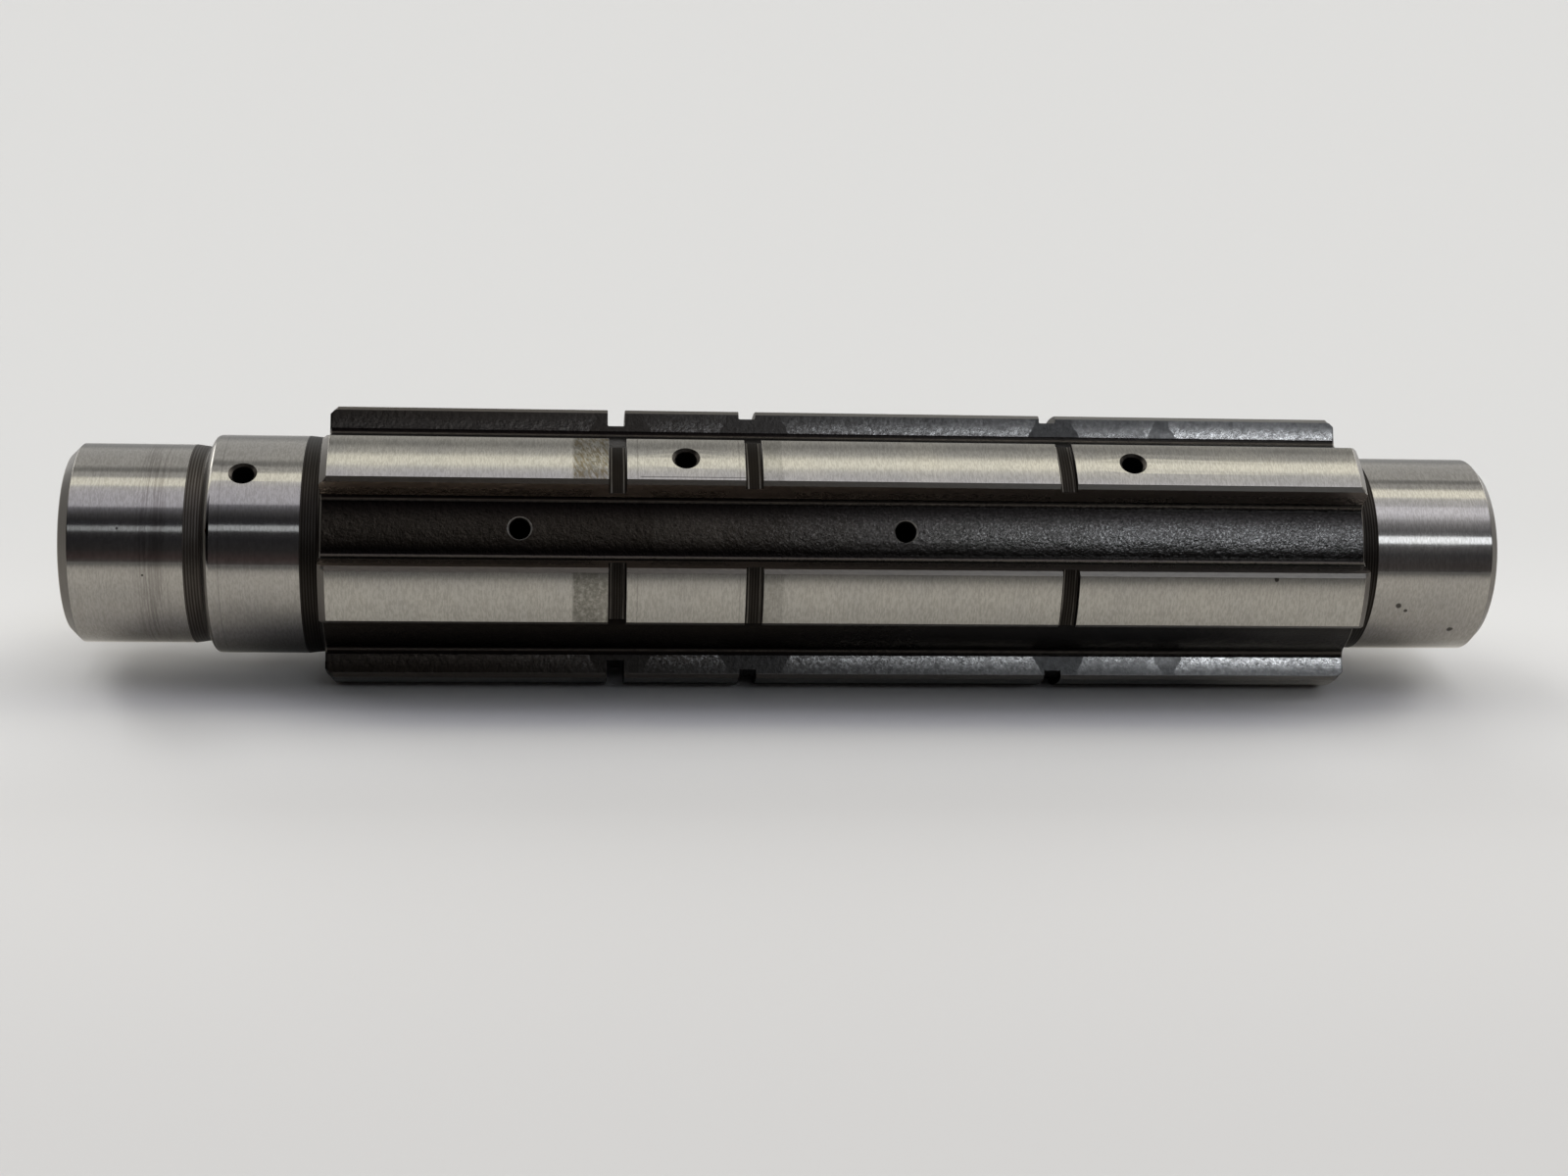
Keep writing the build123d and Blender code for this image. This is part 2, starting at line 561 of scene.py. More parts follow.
def corner_at(geometry, index):
    """The position of the point with this index in a chain."""
    place = shape.node("GeometryNodeInputPosition")
    return shape.node("GeometryNodeSampleIndex", {
        "Geometry": geometry, "Value": place, "Index": index,
    }, data_type="FLOAT_VECTOR")


def points_in(geometry):
    """How many points a chain has."""
    return shape.node("GeometryNodeAttributeDomainSize", [geometry])


section_shape = shape.node("GeometryNodeObjectInfo", [given["Section"]], output="Geometry")
rows = points_in(given["Geometry"])
steps = points_in(section_shape)
columns = steps * given["Teeth"] + 1
grid = shape.node("GeometryNodeMeshGrid", {"Vertices X": rows, "Vertices Y": columns})

index = shape.node("GeometryNodeInputIndex")
row = (index / columns).math("FLOOR")
column = index - row * columns
tooth = (column / steps).math("FLOOR")
place, _, turned_r = corner_at(given["Geometry"], row).parts()
_, across, along = corner_at(section_shape, column - tooth * steps).parts()
angle = across.math("ARCTAN2", along) + tooth * pitch
shape.tell("grid")

# %% The smaller of the turned and the cut radius
weld = 0.004 * MM
to_left_face = place - spline_start * MM
to_right_face = spline_end * MM - place
ease = (given["Valley end break"] - to_left_face.least(to_right_face)).most(0)
ease = ease.least(given["Valley end break"])
cut_r = across.hypot(along) - ease
radius = turned_r.least(cut_r)
spot = shape.node("ShaderNodeCombineXYZ", [
    place, -1 * radius * angle.math("COSINE"), radius * angle.math("SINE"),
])
body = shape.node("GeometryNodeSetPosition", {"Geometry": grid, "Position": spot})
body = shape.node("GeometryNodeMergeByDistance", {"Geometry": body, "Distance": weld})
shape.tell("body")

# %% [markdown]
# ## Drilling
#
# Each oil hole was drilled down to the gallery and then countersunk, so that its mouth has no burr.
# It could be modelled into the grid, but a round hole never fits a grid's rows. So the tree does
# what the workshop did: it stands a drill and a countersink on each hole's point, turns them
# outward, and cuts them away. The mesh is closed, so the fast solver for closed meshes will do.
# The cut faces take the finish of their tool.

# %% A drill and a countersink
drill_sides = 64
sink_height = 1.2 * MM
under_size = 0.01 * MM

# The drill is two radii long, so that its inner end lies on the axis
drill = shape.node("GeometryNodeMeshCylinder", {
    "Vertices": drill_sides, "Radius": given["Hole radius"], "Depth": 2.0,
})
countersink = shape.node("GeometryNodeMeshCone", {
    "Vertices": drill_sides, "Radius Bottom": given["Hole radius"] - under_size,
    "Radius Top": given["Hole radius"] + sink_height, "Depth": sink_height + under_size,
})
shape.tell("tools")

# %% Where the tools stand, and which way they point
spots = shape.node("GeometryNodeObjectInfo", [given["Oil holes"]], output="Geometry")
_, at_y, at_z = shape.node("GeometryNodeInputPosition").parts()
at_r = at_y.hypot(at_z)
away = shape.node("ShaderNodeCombineXYZ", [0, at_y / at_r, at_z / at_r])
turned_out = shape.node("FunctionNodeAlignRotationToVector", {"Vector": away}, axis="Z")
sink = shape.node("GeometryNodeInputNamedAttribute", {"Name": "sink"}, data_type="FLOAT")
down = shape.node("ShaderNodeVectorMath", {"Vector": away, "Scale": -1 * sink}, operation="SCALE")
sunk_spots = shape.node("GeometryNodeSetPosition", {"Geometry": spots, "Offset": down})
shape.tell("places for the tools")

# %% Drill the oil holes


def with_finish(geometry, name, where=True):
    """The geometry with a finish on the chosen faces."""
    return shape.node("GeometryNodeSetMaterial", {
        "Geometry": geometry, "Selection": where, "Material": finishes[name],
    })


def drilled_at(points, tool, scale, finish):
    """A tool at each point, turned outward, as plain geometry with the finish that it leaves."""
    tools = shape.node("GeometryNodeInstanceOnPoints", {
        "Points": points, "Instance": tool, "Rotation": turned_out, "Scale": scale,
    })
    tools = shape.node("GeometryNodeRealizeInstances", {"Geometry": tools})
    return with_finish(tools, finish)


to_axis = shape.node("ShaderNodeCombineXYZ", [1, 1, at_r])
body = with_finish(body, "turned_steel")
drills = drilled_at(spots, drill, to_axis, "drilled_steel")
countersinks = drilled_at(sunk_spots, countersink, (1, 1, 1), "countersunk_steel")
body = shape.node("GeometryNodeMeshBoolean", {
    "Mesh 1": body, "Mesh 2": [drills, countersinks],
}, operation="DIFFERENCE", solver="MANIFOLD")
shape.tell("drilling")

# %% [markdown]
# ## Edges and zones
#
# Round faces have to look round and the edges between them sharp, so all faces are shaded smooth
# and the edges with more than a small bend are marked sharp. Then every face gets its finish from
# where it lies and which way it faces, as each finish of the real shaft begins at an edge. Faces
# painted by hand would have to be painted anew after each change of size.

# %% Keep the edges crisp
crisp_angle = math.radians(28)
edge_angle = shape.node("GeometryNodeInputMeshEdgeAngle")
body = shape.node("GeometryNodeSetShadeSmooth", {
    "Geometry": body, "Shade Smooth": True,
}, domain="FACE")
body = shape.node("GeometryNodeSetShadeSmooth", {
    "Geometry": body, "Selection": edge_angle.above(crisp_angle), "Shade Smooth": False,
}, domain="EDGE")
shape.tell("crisp edges")

# %% Place and direction of a face
face_place, face_y, face_z = shape.node("GeometryNodeInputPosition").parts()
face_r = face_y.hypot(face_z)
facing_x, facing_y, facing_z = shape.node("GeometryNodeInputNormal").parts()
facing_out = (facing_y * face_y + facing_z * face_z) / face_r
drilled = (
    shape.node("GeometryNodeMaterialSelection", {"Material": finishes["drilled_steel"]})
    + shape.node("GeometryNodeMaterialSelection", {"Material": finishes["countersunk_steel"]})
)


def within(low, high):
    """One where a face lies between two places along the shaft."""
    return face_place.above(low * MM) * face_place.below(high * MM)


shape.tell("faces")

# %% Zones on the splines
wall_slack = 0.01
tip_slack = 0.02
edgeways = 0.3
between_faces = within(spline_start, spline_end)
lengthways = abs(facing_x).below(edgeways)
in_groove = sum(
    within(spline_start + start - wall_slack, spline_start + start + width + wall_slack)
    * face_r.above((floor_r - wall_slack) * MM)
    for start, width, floor_r in ring_grooves
)
flank_low = math.hypot(flank_end.x, flank_end.y)
in_valley = between_faces * face_r.below((flank_low + wall_slack) * MM) * lengthways
beside_land = face_r.above(flank_low * MM) * face_r.below((outer_r - tip_slack) * MM)
on_flank = between_faces * beside_land * lengthways * (1 - in_groove)
on_land = between_faces * face_r.above((outer_r - tip_slack) * MM)
shape.tell("zones on the splines")

# %% Zones on the journals, in the gallery and in the reliefs
shoulder_rounding = 0.4
relief_foot = 0.2
skin_height = 0.7
outward = 0.8
seats = (
    within(left_end + left_chamfer, left_journal_end)
    + within(large_journal_start + shoulder_rounding, large_journal_end)
    + within(right_journal_start, right_end - right_chamfer)
)
on_seat = seats * facing_out.above(outward)
in_gallery = face_r.below(gallery_mouth_r * MM) * facing_out.below(0)
reliefs = (
    within(left_journal_end, shoulder_foot + relief_foot)
    + within(large_journal_end, spline_start + wall_slack)
    + within(spline_end - wall_slack, right_journal_start)
)
in_relief = reliefs * face_r.below((large_r + skin_height) * MM)
shape.tell("other zones")

# %% Give each zone its finish
zones = {
    "hardened_skin": in_relief + in_groove * (1 - on_land),
    "drilled_steel": in_gallery,
    "ground_steel": on_seat + on_land,
    "valley_floor": in_valley,
    "tooth_flank": on_flank,
}
for name, zone in zones.items():
    body = with_finish(body, name, zone * (1 - drilled))

leaving = group.nodes.new("NodeGroupOutput")
group.links.new(body.socket, leaving.inputs[0])
shape.tell("whole tree")

# %% [markdown]
# ## A plain mesh
#
# The real shaft is one bar, so the result is one closed mesh. The tree is put on the outline as a
# modifier, and the evaluated result is copied. The modifier, the tooth's section and the hole points
# are then taken away, so that only the finished shaft is left.

# %% Turn the tree's result into a plain mesh
modifier = shaft.modifiers.new("turn_and_cut", "NODES")
modifier.node_group = group
identifiers = {
    item.name: item.identifier for item in group.interface.items_tree if item.in_out == "INPUT"
}
for name, (_, value) in inputs.items():
    modifier[identifiers[name]] = value

evaluated = shaft.evaluated_get(bpy.context.evaluated_depsgraph_get())
finished_mesh = bpy.data.meshes.new_from_object(evaluated)
shaft.modifiers.remove(modifier)
shaft.data = finished_mesh
for helper in (section, hole_points):
    bpy.data.objects.remove(helper)
finished_mesh.materials.pop(index=0)
print("faces", len(finished_mesh.polygons))
for slot, finish in enumerate(finished_mesh.materials):
    print(finish.name, sum(face.material_index == slot for face in finished_mesh.polygons))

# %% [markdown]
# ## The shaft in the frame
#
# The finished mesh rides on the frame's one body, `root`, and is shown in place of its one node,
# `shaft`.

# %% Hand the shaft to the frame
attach(shaft, "root")
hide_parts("shaft")
print("shaft rides on root")

# %% [markdown]
# ## Words for finishes
#
# All of the shaft is bare steel, so one metal shader does for every finish. What differs is the
# colour, the roughness and the fine relief, and these come from noise that is stretched the way the
# tool ran. Pictures wrapped on the mesh would stretch and show seams, so everything is worked out
# from the place on the shaft, in millimetres.

# %% Small words for shading


class Look(Tree):
    """The node tree of one finish."""

    def __init__(self, material):
        super().__init__(empty_tree(material))
        place = self.node("ShaderNodeTexCoord", output="Object")
        self.x, self.y, self.z = [part / MM for part in place.parts()]
        self.r = self.y.hypot(self.z)

    def noise(self, x, y, z, detail=3.0, roughness=0.6):
        """Noise between 0 and 1 over three calculated coordinates."""
        vector = self.node("ShaderNodeCombineXYZ", [x, y, z])
        return self.node("ShaderNodeTexNoise", {
            "Vector": vector, "Scale": 1.0, "Detail": detail, "Roughness": roughness,
        })

    def scratches(self, width, length, detail=3.0, roughness=0.6):
        """Noise with a width along the shaft and a length round it, in millimetres."""
        return self.noise(self.x / width, self.y / length, self.z / length, detail, roughness)

    def grain(self, size, detail=3.0, roughness=0.6):
        """Even noise with features of a size in millimetres."""
        return self.scratches(size, size, detail, roughness)

    def zone(self, start, end, blur):
        """One between two places along the shaft, fading out over the blur."""
        return self.span(self.x, start - blur, start + blur, end - blur, end + blur)

    def bump(self, height, depth):
        """Relief whose height of 1 stands this deep, in millimetres."""
        return self.node("ShaderNodeBump", {"Height": height, "Distance": depth * MM})

    def metal(self, colour, roughness, normal):
        """Ends the tree in bare metal."""
        shader = self.node("ShaderNodeBsdfPrincipled", {
            "Base Color": colour, "Metallic": 1.0, "Roughness": roughness, "Normal": normal,
        })
        self.node("ShaderNodeOutputMaterial", {"Surface": shader})
        self.tell("finish")


print("a Look is the tree of one finish")

# %% [markdown]
# ## Ground steel
#
# The journals and the lands of the teeth are ground: a fast wheel leaves hair-fine scratches that
# run round the shaft and a bright, slightly cloudy surface. Each kind of scratch is noise squeezed
# along the shaft and drawn out round it. The lands are a little warmer than the journals, and
# those that face down are painted lighter, painted light.

# %% Scratches, clouds and grain of the ground steel
ground = Look(finishes["ground_steel"])
arc_place = ground.z.math("ARCTAN2", -1 * ground.y) * ground.r
scratches = ground.scratches(0.12, 9, 4)
long_scratches = ground.scratches(0.4, 16)
cloudy = ground.ramp(ground.grain(14, 4), 0.3, 0.7)
fine_grain = ground.grain(0.7, 3)
streaks = ground.scratches(0.3, 1.1, 2)
on_splines = ground.ramp(ground.r, 24, 27)
ground.tell("scratches")

# %% Colour of the ground steel
steel = ground.colour(cloudy, (0.33, 0.318, 0.303), (0.362, 0.347, 0.323))
land_steel = ground.colour(cloudy, (0.345, 0.334, 0.312), (0.38, 0.364, 0.33))
# Painted light: lands that face down are painted lighter.
painted_light_below = ground.ramp(ground.z, -6, 6, 0.22, 0)
steel = ground.coats(
    steel,
    (on_splines, land_steel),
    (on_splines * painted_light_below, (0.55, 0.535, 0.49)),
    (ground.ramp(long_scratches, 0.42, 0.8) * 0.28, (0.22, 0.205, 0.19)),
    (ground.ramp(scratches, 0.45, 0.8) * 0.3, (0.5, 0.48, 0.45)),
    (ground.ramp(streaks, 0.36, 0.62, 0.42, 0), (0.2, 0.19, 0.17)),
)
ground.tell("ground colour")

# %% Stains beside the grooves, where a ring and a hub rubbed on the lands
hub_stain = ground.zone(-44.5, -37, 0.35)
stains = hub_stain + 0.5 * ground.zone(-8, -3.5, 0.3)
speckle = ground.ramp(ground.grain(0.9, 4, 0.7), 0.3, 0.62)
uneven = ground.ramp(ground.grain(5, 2), 0.3, 0.55, 0.5, 1)
smudge = stains * on_splines * (0.35 + 0.65 * speckle) * uneven
hatch = ground.noise((ground.x + 0.5 * arc_place) / 0.5, (arc_place - 0.5 * ground.x) / 2.0, 0, 2)
hatched = hub_stain * ground.ramp(ground.z, 15, 18) * ground.ramp(hatch, 0.45, 0.6)
stained = (smudge * 0.85, (0.115, 0.11, 0.093)), (hatched * 0.75, (0.11, 0.085, 0.045))
steel = ground.coats(steel, *stained)
ground.tell("stains")

# %% Rings that a bearing and a seal lip wore, and a score along one land
worn = ground.zone(-128.5, -123.4, 1.2) * ground.ramp(long_scratches, 0.4, 0.6)
score_arc = 24.65
beside_score = abs(arc_place - score_arc)
score = ground.zone(-31.5, -7, 0.3) * ground.ramp(beside_score, 0.05, 0.16, 1, 0)
mark_width = 0.12
mark_places = (-112.9, -32.0, -12.0)
ring_marks = sum(
    ground.zone(place - mark_width, place + mark_width, mark_width) for place in mark_places
)
steel = ground.coats(
    steel,
    (worn * 0.5, (0.15, 0.135, 0.125)),
    (ring_marks * 0.35, (0.12, 0.11, 0.1)),
    (score * on_splines * 0.7, (0.06, 0.055, 0.05)),
)
ground.tell("worn rings and a score")

# %% Nicks: place along the shaft, angle up from the front, radius there, size
nicks = [
    (94.9, 9.9, outer_r, 0.6), (123.8, -11.2, right_r, 0.75), (125.5, -14.8, right_r, 0.5),
    (136.3, -30.1, right_r, 0.8), (-132.3, 29.1, left_r, 0.3), (-127.6, 2.8, left_r, 0.28),
]
spot = ground.node("ShaderNodeCombineXYZ", [ground.x, ground.y, ground.z])
nicked = 0
for place, angle, radius, size in nicks:
    centre = tuple(v / MM for v in on_surface(place, angle, radius))
    away = ground.node("ShaderNodeVectorMath", [spot, centre], "Value", operation="DISTANCE")
    ragged_edge = 0.5 * size * (fine_grain - 0.5)
    nicked = ground.ramp(away + ragged_edge, size * 0.6, size, 1, 0) + nicked
steel = ground.colour(nicked * 0.85, steel, (0.02, 0.016, 0.013))
print("nicks", len(nicks))

# %% Finish the ground steel
ground.metal(
    steel,
    0.05 + 0.05 * on_splines + 0.05 * scratches + 0.04 * cloudy + 0.06 * smudge,
    ground.bump(scratches + 0.4 * fine_grain + streaks, 0.004),
)

# %% [markdown]
# ## Turned steel
#
# Chamfers and faces are as the lathe left them, dull and grey, with rings that the tool's feed cut.
# The two end faces were faced last, so they are cleaner and show their rings plainly. Noise over
# the radius makes true rings round the axis.

# %% Turned chamfers and end faces
turned = Look(finishes["turned_steel"])
rings = turned.noise(turned.x / 0.1, turned.r / 0.1, 0.2 * turned.y, 3)
feed_marks = turned.noise(0.0, turned.r / 0.42, 0.0, 2)
end_depth = 0.3
at_end = turned.ramp(abs(turned.x), right_end - end_depth, right_end - 0.05)
dull_turned = turned.colour(rings, (0.085, 0.078, 0.07), (0.15, 0.14, 0.13))
plain_marks = turned.ramp(feed_marks, 0.35, 0.65)
clean_turned = turned.colour(plain_marks, (0.17, 0.162, 0.15), (0.34, 0.325, 0.3))
turned.metal(
    turned.colour(at_end, dull_turned, clean_turned),
    0.32 + 0.15 * turned.grain(2.0),
    turned.bump(rings + at_end * feed_marks, 0.012),
)

# %% [markdown]
# ## Hardened skin
#
# Reliefs and ring grooves were turned before the shaft was hardened, and no wheel reached them
# later, so they kept the dark skin of the furnace over fine turned rings. The rings are a sine
# along the shaft with the feed as its pitch. The grooves above and below the front tooth are
# darker, and beside their corners the groove floors carry fine painted highlight lines.

# %% Reliefs and ring grooves
skin = Look(finishes["hardened_skin"])
ring_pitch = 0.55
corner_highlight_inset = 0.55
turned_rings = (skin.x * (2 * math.pi / ring_pitch)).math("SINE") * 0.5 + 0.5
ring_noise = skin.scratches(0.3, 12)
left_relief = skin.ramp(skin.x, -110, -100, 1, 0)
# The grooves above and below the front tooth are darker, and less so at the right.
darker_off_front = skin.ramp(skin.r, 24, 24.5) * skin.ramp(abs(skin.z), 6, 14)
darker_off_front = darker_off_front * skin.ramp(skin.x, 30, 40, 1, 0.4)
skin.tell("rings and oil")

# %% Painted highlight lines beside the corners of the groove floors
corner_highlight_width = 0.1
painted_corner_highlight = 0
for place, width, _ in ring_grooves:
    left_wall = spline_start + place
    for corner in (left_wall + corner_highlight_inset, left_wall + width - corner_highlight_inset):
        painted_corner_highlight = skin.zone(corner - corner_highlight_width, corner + corner_highlight_width, 0.12) + painted_corner_highlight
painted_corner_highlight = painted_corner_highlight * skin.ramp(ring_noise, 0.35, 0.6) * skin.ramp(skin.r, 24, 24.5)
skin.tell("rubbed lines")

# %% Finish the hardened skin
light_skin = skin.colour(left_relief, (0.055, 0.05, 0.046), (0.125, 0.115, 0.105))
dark_skin = skin.colour(left_relief, (0.011, 0.009, 0.007), (0.03, 0.025, 0.021))
skin_colour = skin.colour(ring_noise * turned_rings * (1 - 0.85 * darker_off_front), dark_skin, light_skin)
# The lines beside the groove corners are a painted highlight, a lighter colour on the floors.
skin.metal(
    skin.colour(0.45 * painted_corner_highlight, skin_colour, (0.3, 0.28, 0.25)),
    0.36 + 0.12 * skin.grain(1.5),
    skin.bump(turned_rings * 0.6 + ring_noise, 0.03),
)

# %% [markdown]
# ## Blasted valleys
#
# After hardening, the valleys were shot-blasted. The shot left a skin of small dents, brown with
# baked oil at the left and cleaner and bluish to the right, where the hubs pass. Peaks between the
# dents get painted glints, and the root fillets get painted shade. The dents are noise in colour
# and bump, because real dents of this size would need millions of faces.

# %% Dents and base colour of the valleys
valley = Look(finishes["valley_floor"])
turn_round = (valley.z.math("ARCTAN2", -1 * valley.y) / (pitch / 2)).math("PINGPONG", 1.0)
near_fillet = valley.ramp(1 - turn_round, 0.12, 0.45)
shot = valley.grain(1.3, 3, 0.6)
fine_shot = valley.grain(0.5, 2)
wavering = 16 * (valley.grain(9) - 0.5)
last_hub = 60
slowly_cleaner = 0.78 * valley.ramp(valley.x + wavering, -25, last_hub)
cleaner = slowly_cleaner + 0.22 * valley.ramp(valley.x, last_hub, last_hub + 0.5)
brown = valley.colour(valley.grain(11, 3), (0.023, 0.0185, 0.0145), (0.044, 0.036, 0.029))
# Painted light: the valleys low on the shaft get a lighter brown.
brown = valley.colour(valley.ramp(valley.z, -8, 0), (0.07, 0.057, 0.046), brown)
bluish = valley.colour(valley.grain(6, 3), (0.055, 0.052, 0.049), (0.15, 0.146, 0.142))
valley_colour = valley.colour(cleaner, brown, bluish)
valley.tell("dents")

# %% Painted glints on the peaks, where the valley is open to the light
# Painted highlight: glints painted into the colour of the upper valleys, stronger to the right.
painted_sparkle = valley.ramp(valley.grain(0.47, 3, 0.75), 0.44, 0.7) * valley.ramp(valley.z, 0, 6)
painted_sparkle = painted_sparkle * valley.ramp(valley.x, -50, 15, 0.3, 1)
peaks = valley.colour(cleaner, (0.2, 0.18, 0.16), (0.68, 0.66, 0.64))
between_hubs = 0.2 * valley.zone(-28.7, -14.8, 0.2)
valley_colour = valley.coats(
    valley_colour, (painted_sparkle * 0.3, peaks), (between_hubs, (0.09, 0.078, 0.066)),
)
valley.tell("peaks")

# %% Painted shade off the valley's middle and in the fillets, and a painted highlight line along the root of every flank
# Painted shade: away from the front valley's middle line the valleys are painted darker, and darkest
# in the root fillets. A thin lighter line at the root of each flank is a painted highlight.
valley_middle = 10.3
off_middle = abs(valley.z - valley_middle)
painted_shade_off_middle = valley.ramp(off_middle, 1.2, 4.2, 0, 0.62)
painted_fillet_shade = valley.colour(cleaner, (0.004, 0.003, 0.003), (0.012, 0.011, 0.01))
painted_root_line = valley.span(1 - turn_round, 0.44, 0.455, 0.475, 0.49)
valley.metal(
    valley.coats(
        valley_colour,
        (painted_shade_off_middle, (0.008, 0.007, 0.006)),
        (0.93 * near_fillet, painted_fillet_shade),
        (0.09 * painted_root_line, (0.42, 0.37, 0.33)),
    ),
    0.32 - 0.13 * cleaner + 0.12 * (shot - 0.5),
    valley.bump(shot + 0.5 * fine_shot, 0.15),
)

# %% [markdown]
# ## Milled flanks
#
# The flanks carry the load. They were milled and hardened like the valleys, and each sliding hub has
# polished its own patch into them, with a slanted end where the hub's chamfer began. Between the
# patches the dull skin is left. Each patch is a start, an end and a shine with a ragged edge.

# %% Patches that the hubs have polished: start, end, shine
flank = Look(finishes["tooth_flank"])
patches = [
    (-100.0, -41.3, 1.0), (-28.7, -14.8, 0.8), (-0.5, 49.5, 0.8), (60.2, 74.6, 0.5),
    (74.6, 80.7, 0.25), (80.7, 130.0, 1.0),
]
patch_slant = 1.6
patch_blur = 0.15
height = flank.ramp(flank.r, 23.4, 27.0)
ragged = (flank.grain(0.9, 3) - 0.5) * 1.1
patch = 0
for start, end, shine in patches:
    from_start = flank.x + height * patch_slant + ragged - start
    to_end = end + height * patch_slant + ragged - flank.x
    begun = flank.ramp(from_start, -patch_blur, patch_blur)
    patch = shine * begun * flank.ramp(to_end, -patch_blur, patch_blur) + patch
print("polished patches", len(patches))

# %% Dull and polished steel of the flanks
grit = flank.grain(1.1, 3, 0.65)
toward_right = flank.ramp(flank.x, -70, 90)
below_tip = flank.ramp(flank.r, 27.2, 27.5, 1, 0)
# Painted shade: at the left the lower flanks are painted darker, where the teeth above shade them.
painted_shade_by_height = flank.ramp(flank.z, -16, 22)

dull_left = flank.colour(painted_shade_by_height, (0.012, 0.0095, 0.0075), (0.04, 0.034, 0.029))
dull_right = flank.colour(grit, (0.035, 0.035, 0.034), (0.11, 0.11, 0.11))
dull = flank.colour(toward_right, dull_left, dull_right)
broken_edge = flank.colour(toward_right, (0.09, 0.08, 0.07), (0.19, 0.185, 0.175))
dull = flank.colour(below_tip, broken_edge, dull)
bright_left = flank.colour(painted_shade_by_height, (0.03, 0.025, 0.021), (0.075, 0.067, 0.06))
bright = flank.colour(flank.ramp(flank.x, -30, 95), bright_left, (0.58, 0.57, 0.55))
# Painted highlight: fine glints painted into the polished patches, more toward the right.
painted_glints = flank.ramp(flank.grain(0.6, 3, 0.7), 0.45, 0.66)
bright = flank.colour(painted_glints * 0.75 * toward_right, bright, (0.95, 0.94, 0.92))
worn_through = flank.ramp(flank.grain(1.4, 3), 0.25, 0.6, 0.45, 1)
polish = patch * below_tip * (1 - 0.85 * height) * worn_through
flank_colour = flank.colour(polish, dull, bright)
flank.tell("dull and polished")

# %% Painted light and shade on the two flanks beside the upper front valley: lighter at the left, darker at the right
upper = flank.span(flank.z, 14, 15, 20.6, 21.2)
lower = flank.span(flank.z, 5, 5.4, 6.3, 6.7)
painted_light_flanks = (upper + lower) * flank.ramp(-1 * flank.y, 8, 12)
# A brown tone of their own, painted lighter than the rest at the left and darker than the polished
# patches at the right.
painted_flank_tone = flank.colour(toward_right, (0.21, 0.165, 0.135), (0.085, 0.073, 0.065))
painted_patch_tone = flank.colour(toward_right, (0.3, 0.25, 0.2), (0.14, 0.12, 0.11))
painted_flank_tone = flank.colour(0.35 * patch, painted_flank_tone, painted_patch_tone)
flank.metal(
    flank.colour(painted_light_flanks * below_tip, flank_colour, painted_flank_tone),
    0.5 - 0.17 * below_tip - 0.16 * polish,
    flank.bump(grit, 0.13),
)

# %% [markdown]
# ## Drilled holes
#
# A drill leaves fine rings, and deep in a hole they are dark with oil. Only the mouths of the
# gallery and of the centre hole are clean. The countersinks shine a little, and in the valley they
# are painted lighter, a painted highlight: a thin bright rim against the dark skin.

# %% Drillings
drilling = Look(finishes["drilled_steel"])
drill_rings = drilling.noise(drilling.x / 3, drilling.r / 0.15, 0.0, 2)
deep_colour = drilling.colour(drill_rings, (0.02, 0.018, 0.016), (0.05, 0.045, 0.04))
mouth_colour = drilling.colour(drill_rings, (0.12, 0.114, 0.105), (0.26, 0.25, 0.235))
near_end = drilling.ramp(abs(drilling.x), 130, 137)
drilling.metal(
    drilling.colour(near_end, deep_colour, mouth_colour),
    0.45 + 0.1 * drill_rings,
    drilling.bump(drill_rings, 0.02),
)

# %% Countersinks
sunk = Look(finishes["countersunk_steel"])
sunk_grain = sunk.grain(0.3, 3)
# Painted highlight: in the valley the countersinks get a lighter colour for their thin bright rim.
in_valley = sunk.ramp(sunk.x, -95, -90) * sunk.ramp(sunk.r, 23, 24, 1, 0)
sunk_colour = sunk.colour(sunk_grain, (0.045, 0.04, 0.035), (0.09, 0.08, 0.07))
sunk.metal(
    sunk.colour(in_valley, sunk_colour, (0.3, 0.29, 0.28)),
    0.33 + 0.1 * sunk_grain,
    sunk.bump(sunk_grain, 0.015),
)

# %% [markdown]
# ## The studio
#
# Bare metal shows its surroundings more than its own colour, so the light is most of its look. The
# photograph has a wide soft box overhead, a thin tube light low in front, and a dim room beyond.
# Lamps could be placed one by one, but a shaft lies along one line, so its highlights are lines too.
# The world is therefore painted in bands over the lean of a direction: 0 is straight up, minus is to
# the front and plus to the back. The camera itself sees only a plain pale backdrop.

# %% The lean of a direction
world = bpy.data.worlds.new("studio")
bpy.context.scene.world = world
bpy.context.scene.view_settings.view_transform = "Standard"
air = Tree(empty_tree(world))
way_x, way_y, way_z = air.node("ShaderNodeTexCoord", output="Generated").parts()
lean = way_y.math("ARCTAN2", way_z) * (180 / math.pi)
aside = abs(way_x - 0.1)
air.tell("directions")

# %% Bands of light


def bands(stops):
    """A ramp over the lean of a direction: each stop is a lean and the colour there."""
    share = (lean + 180) / 360
    made = air.node("ShaderNodeValToRGB", {"Fac": share}, output="Color")
    ramp = made.socket.node.color_ramp
    while len(ramp.elements) < len(stops):
        ramp.elements.new(0.5)
    for element, (angle, colour) in zip(ramp.elements, stops):
        element.position = (angle + 180) / 360
        element.color = (*colour, 1)
    return made


